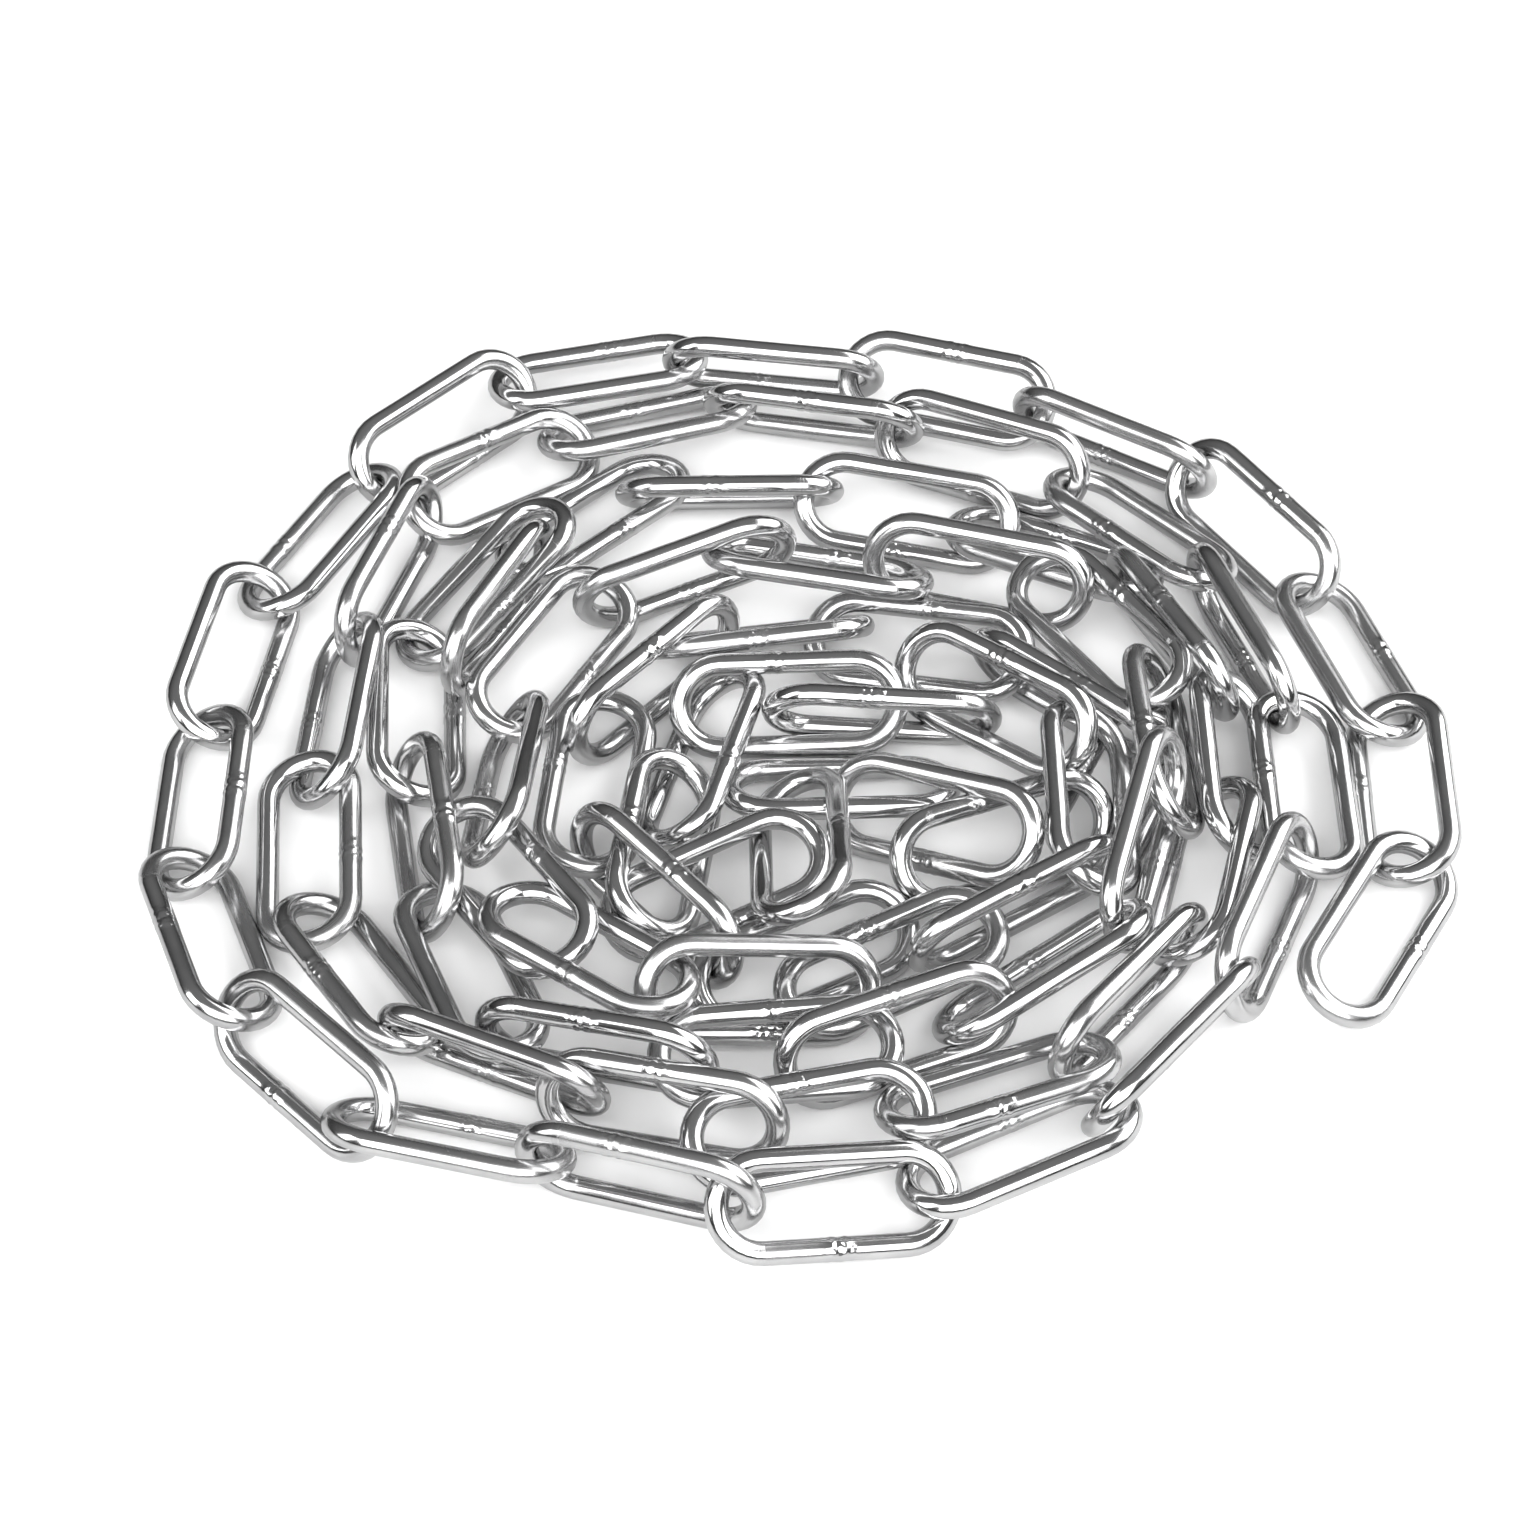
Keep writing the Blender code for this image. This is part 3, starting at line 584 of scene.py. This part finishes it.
# Each link's own start in the random draws, and how far apart in the steel's pattern two links lie
FIRST_SEED = 1000
PATTERN_SHIFT = 0.31


def weld_spot(number, centre, axis, width, random):
    """Which long side of the link has the weld, and where along it."""
    wander = float(random.uniform(-1, 1)) * HIDDEN_WANDER
    side = 1 if random.random() < 0.5 else -1
    if number not in WELD_MARKS:
        return side, wander
    mark = np.array(WELD_MARKS[number], float)
    spots = np.linspace(-WELD_WANDER, WELD_WANDER, WELD_PLACES)
    best = None
    for candidate in (1, -1):
        points = centre + candidate * width * BEND_RADIUS + spots[:, None] * axis
        away = ((pixel_of(points) - mark) ** 2).sum(-1)
        if best is None or away.min() < best[0]:
            best = (away.min(), candidate, float(spots[away.argmin()]))
    return best[1], best[2]


def wire_route(weld_at):
    """Centreline points from the weld's side round the link, with outward directions and lengths along."""
    top = np.concatenate([
        np.linspace(-HALF_STRAIGHT, weld_at - WELD_REACH, PLAIN_STEPS + 1)[:-1],
        np.arange(weld_at - WELD_REACH, weld_at + WELD_REACH, WELD_STEP),
        np.linspace(weld_at + WELD_REACH, HALF_STRAIGHT, PLAIN_STEPS + 1),
    ])
    angles = np.linspace(0, math.pi, ARC_STEPS + 1)[1:-1]
    first = [(x, BEND_RADIUS, 0.0, 1.0) for x in top]
    right = [
        (HALF_STRAIGHT + BEND_RADIUS * math.sin(a), BEND_RADIUS * math.cos(a), math.sin(a), math.cos(a))
        for a in angles
    ]
    plain = np.linspace(HALF_STRAIGHT, -HALF_STRAIGHT, 2 * PLAIN_STEPS + 1)
    bottom = [(x, -BEND_RADIUS, 0.0, -1.0) for x in plain]
    left = [(-x, -y, -nx, -ny) for x, y, nx, ny in right]
    rows = np.array(first + right + bottom + left)
    ends = np.roll(rows, -1, axis=0)
    length = np.sqrt(((ends - rows)[:, :2] ** 2).sum(-1))
    along = np.concatenate([[0.0], np.cumsum(length)[:-1]])
    return rows, along


def weld_relief(rows, angles, weld_at, random):
    """How much further out than the plain wire the surface lies, as a share of its radius."""
    welded_side = (rows[:, 3] == 1) & (abs(rows[:, 0] - weld_at) < WELD_REACH)
    s = (rows[:, 0] - weld_at)[:, None]
    turn = angles[None, :]
    phases = random.uniform(0, 2 * math.pi, 6)
    edges = zip(RAGGED_EDGE, phases)
    ragged = sum(share * np.sin(turns * turn + phase) for (turns, share), phase in edges)
    half = WELD_HALF * (1 + ragged)
    swell = 0.5 * (np.tanh((s + half) / WELD_EDGE / 2) - np.tanh((s - half) / WELD_EDGE / 2))
    waves = zip(LUMP_WAVES, phases[2:])
    lumps = sum(np.sin(turns * turn + pace * s + phase) for (turns, pace), phase in waves) / len(LUMP_WAVES)
    seam = s - NOTCH_HALF * np.sin(2 * turn + phases[5])
    relief = swell * (WELD_SWELL + WELD_LUMPS * lumps) - WELD_NOTCH * np.exp(-((seam / NOTCH_HALF) ** 2))
    fade = np.clip((WELD_REACH - abs(s)) / WELD_FADE, 0, 1)
    fade = np.where(welded_side[:, None], fade, 0.0)
    return relief * fade, swell * fade


def link_mesh(number, side, weld_at, random):
    """The closed round wire of one link, with its weld on the long side at +Y or -Y."""
    rows, along = wire_route(weld_at)
    angles = np.linspace(0, 2 * math.pi, ROUND_SIDES, endpoint=False)
    relief, weld = weld_relief(rows, angles, weld_at, random)
    radius = WIRE / 2 * (1 + relief)
    out = radius * np.cos(angles)
    x = rows[:, :1] + out * rows[:, 2:3]
    y = rows[:, 1:2] + out * rows[:, 3:4]
    z = radius * np.sin(angles)
    points = np.stack([x, y * side, z * side], -1).reshape(-1, 3)
    faces = []
    for i in range(len(rows)):
        here = i * ROUND_SIDES
        after = (i + 1) % len(rows) * ROUND_SIDES
        for k in range(ROUND_SIDES):
            turn = (k + 1) % ROUND_SIDES
            faces.append((here + k, here + turn, after + turn, after + k))
    mesh = bpy.data.meshes.new(f"link_{number:02d}")
    mesh.from_pydata(points.tolist(), [], faces)
    mesh.update()
    grain = np.stack([
        np.repeat(along + number * PATTERN_SHIFT, ROUND_SIDES),
        np.tile(np.cos(angles) * WIRE / 2, len(rows)),
        np.tile(np.sin(angles) * WIRE / 2, len(rows)),
    ], -1)
    wire_place = mesh.attributes.new("wire_place", "FLOAT_VECTOR", "POINT")
    wire_place.data.foreach_set("vector", grain.astype(np.float32).ravel())
    weld_share = mesh.attributes.new("weld_share", "FLOAT", "POINT")
    weld_share.data.foreach_set("value", weld.astype(np.float32).ravel())
    mesh.shade_smooth()
    return mesh


# The steel: its two tones, its least roughness and what each pattern adds, and how deep the relief goes
BRIGHT_STEEL = (0.61, 0.61, 0.61, 1.0)
DULL_STEEL = (0.50, 0.50, 0.505, 1.0)
FINEST = 0.09
DRAWN_ROUGHNESS = 0.05
SMEAR_ROUGHNESS = 0.07
WORN_ROUGHNESS = 0.10
DRAWN_DEPTH = 0.004 * MM
WAVE_DEPTH = 0.03 * MM
BEAD_DEPTH = 0.14 * MM

# How close the patterns are, a metre of wire and twice across it, and the closeness of a weld's beads
DRAWN_PACE = (70, 2600, 2600)
SMEAR_PACE = (110, 330, 330)
WORN_PACE = (14, 60, 60)
BEAD_PACE = 850.0

# Values of a pattern between which a ramp rises
MIDDLE_STOPS = (0.35, 0.65)
WORN_STOPS = (0.45, 0.65)


def noise(nodes, links, vector, scale, detail, roughness):
    """A random pattern of values around one half."""
    made = nodes.new("ShaderNodeTexNoise")
    made.inputs["Scale"].default_value = scale
    made.inputs["Detail"].default_value = detail
    made.inputs["Roughness"].default_value = roughness
    links.new(vector, made.inputs["Vector"])
    return made.outputs["Fac"]


def stretched(nodes, links, vector, scale):
    """The same places with another scale along each axis."""
    made = nodes.new("ShaderNodeMapping")
    made.inputs["Scale"].default_value = scale
    links.new(vector, made.inputs["Vector"])
    return made.outputs["Vector"]


def ramp(nodes, links, value, low, high, stops=MIDDLE_STOPS):
    """Turns a value between the two stops into one from low to high."""
    made = nodes.new("ShaderNodeMapRange")
    made.inputs["From Min"].default_value = stops[0]
    made.inputs["From Max"].default_value = stops[1]
    made.inputs["To Min"].default_value = low
    made.inputs["To Max"].default_value = high
    links.new(value, made.inputs["Value"])
    return made.outputs["Result"]


def maths(nodes, links, operation, first, second):
    """Adds, multiplies or compares two values, each of them a number or another node's."""
    made = nodes.new("ShaderNodeMath")
    made.operation = operation
    for socket, value in zip(made.inputs, (first, second)):
        if isinstance(value, (int, float)):
            socket.default_value = value
        else:
            links.new(value, socket)
    return made.outputs[0]


def polished_steel():
    """Drawn and polished wire: faint marks along it, smears here and there, shiny lumps at the weld."""
    material = bpy.data.materials.new("polished_steel_wire")
    material.use_nodes = True
    nodes = material.node_tree.nodes
    links = material.node_tree.links
    shader = nodes["Principled BSDF"]
    shader.inputs["Metallic"].default_value = 1.0
    place = nodes.new("ShaderNodeAttribute")
    place.attribute_name = "wire_place"
    weld = nodes.new("ShaderNodeAttribute")
    weld.attribute_name = "weld_share"
    where = place.outputs["Vector"]
    drawn = noise(nodes, links, stretched(nodes, links, where, DRAWN_PACE), 1.0, 2.0, 0.6)
    smear = noise(nodes, links, stretched(nodes, links, where, SMEAR_PACE), 1.0, 2.0, 0.55)
    worn = noise(nodes, links, stretched(nodes, links, where, WORN_PACE), 1.0, 0.0, 0.5)
    lumps = noise(nodes, links, where, BEAD_PACE, 1.0, 0.5)
    fine = ramp(nodes, links, drawn, FINEST, FINEST + DRAWN_ROUGHNESS)
    rough = maths(nodes, links, "ADD", fine, ramp(nodes, links, smear, 0.0, SMEAR_ROUGHNESS))
    rough = maths(nodes, links, "ADD", rough, ramp(nodes, links, worn, 0.0, WORN_ROUGHNESS, WORN_STOPS))
    links.new(rough, shader.inputs["Roughness"])
    tone = nodes.new("ShaderNodeMix")
    tone.data_type = "RGBA"
    tone.inputs["A"].default_value = BRIGHT_STEEL
    tone.inputs["B"].default_value = DULL_STEEL
    links.new(ramp(nodes, links, smear, 0.0, 1.0), tone.inputs["Factor"])
    links.new(tone.outputs["Result"], shader.inputs["Base Color"])
    marks = maths(nodes, links, "MULTIPLY", drawn, DRAWN_DEPTH)
    waves = maths(nodes, links, "MULTIPLY", smear, WAVE_DEPTH)
    bead = maths(nodes, links, "MULTIPLY", weld.outputs["Fac"], lumps)
    height = maths(nodes, links, "ADD", marks, waves)
    height = maths(nodes, links, "ADD", height, maths(nodes, links, "MULTIPLY", bead, BEAD_DEPTH))
    bump = nodes.new("ShaderNodeBump")
    bump.inputs["Strength"].default_value = 1.0
    bump.inputs["Distance"].default_value = 1.0
    links.new(height, bump.inputs["Height"])
    links.new(bump.outputs["Normal"], shader.inputs["Normal"])
    return material


def link_matrix(centre, axis, width):
    """The place of a link with this centre and these directions along and across it."""
    normal = np.cross(axis, width)
    return Matrix([[axis[k], width[k], normal[k], centre[k]] for k in range(3)] + [[0, 0, 0, 1]])


def make_links(material, places, back):
    """Every link as a piece of its own, which stands for the node that holds it."""
    for number, (centre, axis, width) in enumerate(zip(*places), start=1):
        random = np.random.default_rng(FIRST_SEED + number)
        side, weld_at = weld_spot(number, centre + back, axis, width, random)
        mesh = link_mesh(number, side, weld_at, random)
        mesh.transform(link_matrix(centre, axis, width))
        mesh.materials.append(material)
        link = bpy.data.objects.new(f"link_{number:02d}", mesh)
        bpy.context.scene.collection.objects.link(link)
        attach(link, "root")
        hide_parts(f"link_pair_{(number + 1) // 2:02d}")


# The floor's size, its tone to the camera, its painted shade as the steel mirrors it, and its faint gloss
FLOOR_SIZE = 2.4
FLOOR_TONE = 0.98
MIRRORED_SHADE_TONE = 0.64
FLOOR_ROUGHNESS = 0.32
FLOOR_GLOSS = 0.2


def make_floor():
    """The pale floor that the heap lies on, with painted shade where the steel mirrors it."""
    mesh = bpy.data.meshes.new("floor")
    half = FLOOR_SIZE / 2
    corners = [(-half, -half, 0), (half, -half, 0), (half, half, 0), (-half, half, 0)]
    mesh.from_pydata(corners, [], [(0, 1, 2, 3)])
    floor = bpy.data.objects.new("floor", mesh)
    bpy.context.scene.collection.objects.link(floor)
    material = bpy.data.materials.new("pale_floor_painted_shade")
    material.use_nodes = True
    nodes = material.node_tree.nodes
    links = material.node_tree.links
    shader = nodes["Principled BSDF"]
    seen = nodes.new("ShaderNodeLightPath")
    # Painted shade: the floor is darker in the steel's reflections than to the camera
    tone = ramp(nodes, links, seen.outputs["Is Camera Ray"], MIRRORED_SHADE_TONE, FLOOR_TONE, (0.0, 1.0))
    links.new(tone, shader.inputs["Base Color"])
    shader.inputs["Roughness"].default_value = FLOOR_ROUGHNESS
    shader.inputs["Specular IOR Level"].default_value = FLOOR_GLOSS
    mesh.materials.append(material)


def aim(holder, target):
    """Turns a camera or a light towards a place."""
    direction = Vector(target) - holder.location
    holder.rotation_euler = direction.to_track_quat("-Z", "Y").to_euler()


# The camera's sensor and the range that it sees
SENSOR_WIDTH = 36.0
NEAREST = 0.01
FARTHEST = 20.0


def make_camera(back):
    """The photo's camera: its rays meet the links where they were read."""
    data = bpy.data.cameras.new("photo_camera")
    data.sensor_fit = "HORIZONTAL"
    data.sensor_width = SENSOR_WIDTH
    data.lens = FOCAL_PIXELS / PHOTO_SIZE * SENSOR_WIDTH
    data.clip_start = NEAREST
    data.clip_end = FARTHEST
    camera = bpy.data.objects.new("photo_camera", data)
    bpy.context.scene.collection.objects.link(camera)
    camera.location = Vector((EYE - back).tolist())
    aim(camera, (-back).tolist())
    bpy.context.scene.camera = camera


# The soft boxes' distance, and each one's azimuth from the camera's side (0) to the right (90), elevation,
# width, height and radiance
BOX_DISTANCE = 1.5
SOFT_BOXES = {
    "front_box": (0, 42, 1.9, 1.5, 4.1),
    "right_box": (105, 36, 1.9, 1.3, 4.1),
    "left_box": (-70, 34, 0.7, 1.1, 4.1),
}
# The studio's brightness near the horizon and overhead, how steep a direction is where each is reached,
# and what the camera sees behind the floor
LOW_SURROUNDINGS = 0.035
HIGH_SURROUNDINGS = 0.24
SURROUNDINGS_STOPS = (0.1, 0.9)
BACKDROP = 0.98


def soft_box(name, azimuth, elevation, size, radiance):
    """A soft box that faces the heap."""
    out = math.cos(elevation)
    direction = Vector((out * math.sin(azimuth), -out * math.cos(azimuth), math.sin(elevation)))
    data = bpy.data.lights.new(name, "AREA")
    data.shape = "RECTANGLE"
    data.size = size[0]
    data.size_y = size[1]
    data.energy = radiance * math.pi * size[0] * size[1]
    box = bpy.data.objects.new(name, data)
    bpy.context.scene.collection.objects.link(box)
    box.location = direction * BOX_DISTANCE
    box.visible_camera = False
    aim(box, (0, 0, 0))


def make_lights():
    """The soft boxes and the dim studio round them."""
    for name, (azimuth, elevation, width, height, radiance) in SOFT_BOXES.items():
        soft_box(name, math.radians(azimuth), math.radians(elevation), (width, height), radiance)
    world = bpy.data.worlds.new("studio")
    world.use_nodes = True
    nodes = world.node_tree.nodes
    background = nodes["Background"]
    background.inputs["Color"].default_value = (1.0, 1.0, 1.0, 1.0)
    links = world.node_tree.links
    seen = nodes.new("ShaderNodeLightPath")
    direction = nodes.new("ShaderNodeTexCoord")
    split = nodes.new("ShaderNodeSeparateXYZ")
    links.new(direction.outputs["Generated"], split.inputs["Vector"])
    studio = ramp(nodes, links, split.outputs["Z"], LOW_SURROUNDINGS, HIGH_SURROUNDINGS, SURROUNDINGS_STOPS)
    behind = maths(nodes, links, "MULTIPLY", seen.outputs["Is Camera Ray"], BACKDROP)
    links.new(maths(nodes, links, "MAXIMUM", studio, behind), background.inputs["Strength"])
    bpy.context.scene.world = world
    bpy.context.scene.view_settings.view_transform = "Standard"


def main():
    *places, back = place_links()
    make_floor()
    make_camera(back)
    make_lights()
    make_links(polished_steel(), places, back)


main()
